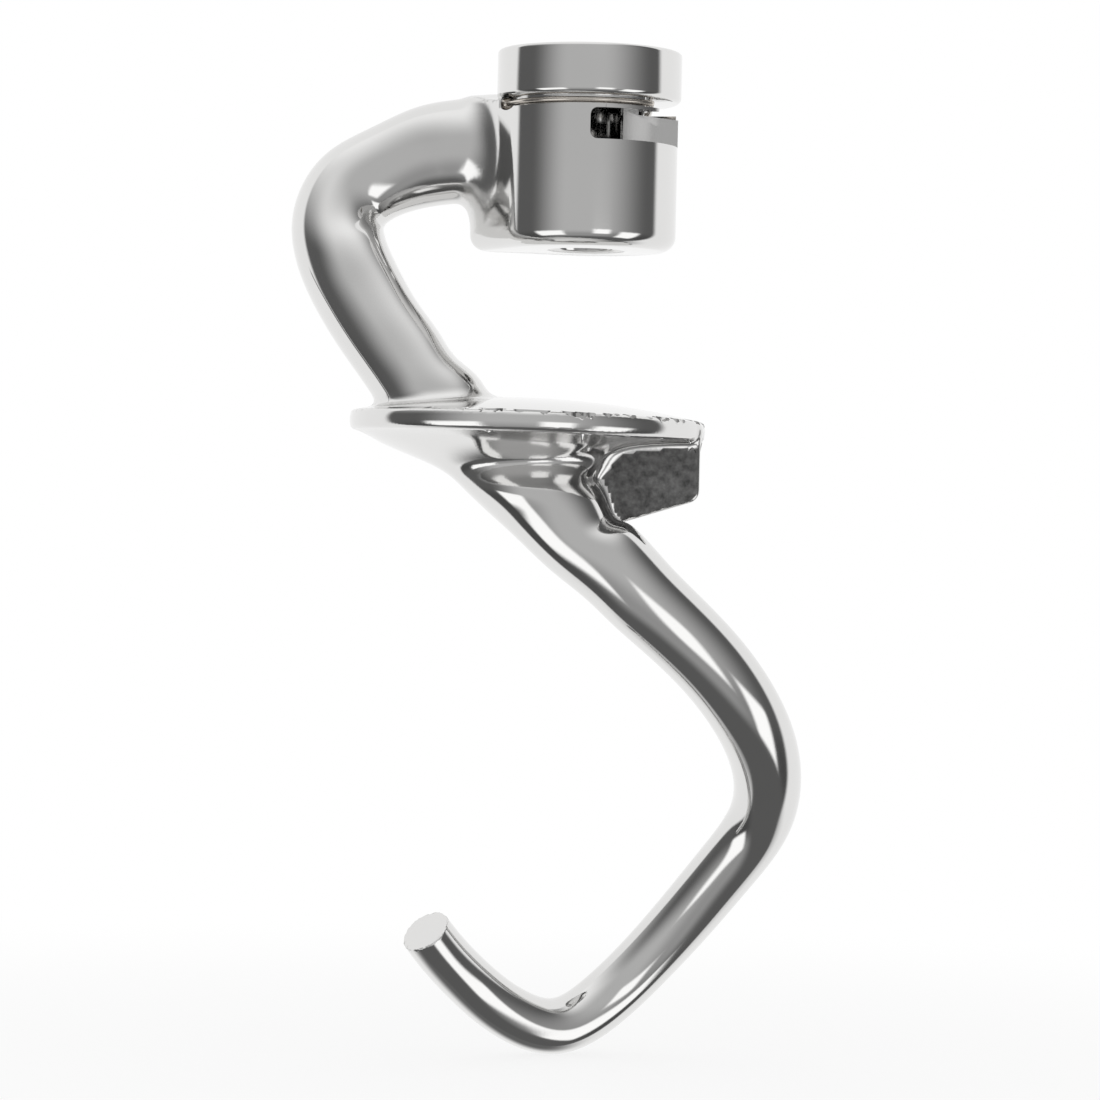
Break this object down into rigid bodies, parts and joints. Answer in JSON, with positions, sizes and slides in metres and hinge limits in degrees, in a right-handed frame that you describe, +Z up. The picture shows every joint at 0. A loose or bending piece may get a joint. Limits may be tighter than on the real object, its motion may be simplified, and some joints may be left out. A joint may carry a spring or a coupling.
{
  "type": "stand mixer dough hook",
  "caption": "Spiral dough hook for a tilt-head stand mixer: cast aluminium hub with bayonet bore and clip, cranked arm, domed guard and tapering left-handed rod.",
  "frame": {"origin": "drive bore axis at the top face of the hub's collar", "axes": "+Z up along the drive bore, towards the mixer head, -Y the side on which the pin window shows, +X to the right from that side"},
  "size_m": [0.0957, 0.0678, 0.1841],
  "materials": {
    "polished_aluminium": "ground and polished casting",
    "spring_steel": "drawn stainless wire"
  },
  "bodies": {
    "root": {"hook_casting": "polished_aluminium", "spring_clip": "spring_steel"}
  },
  "joints": []
}
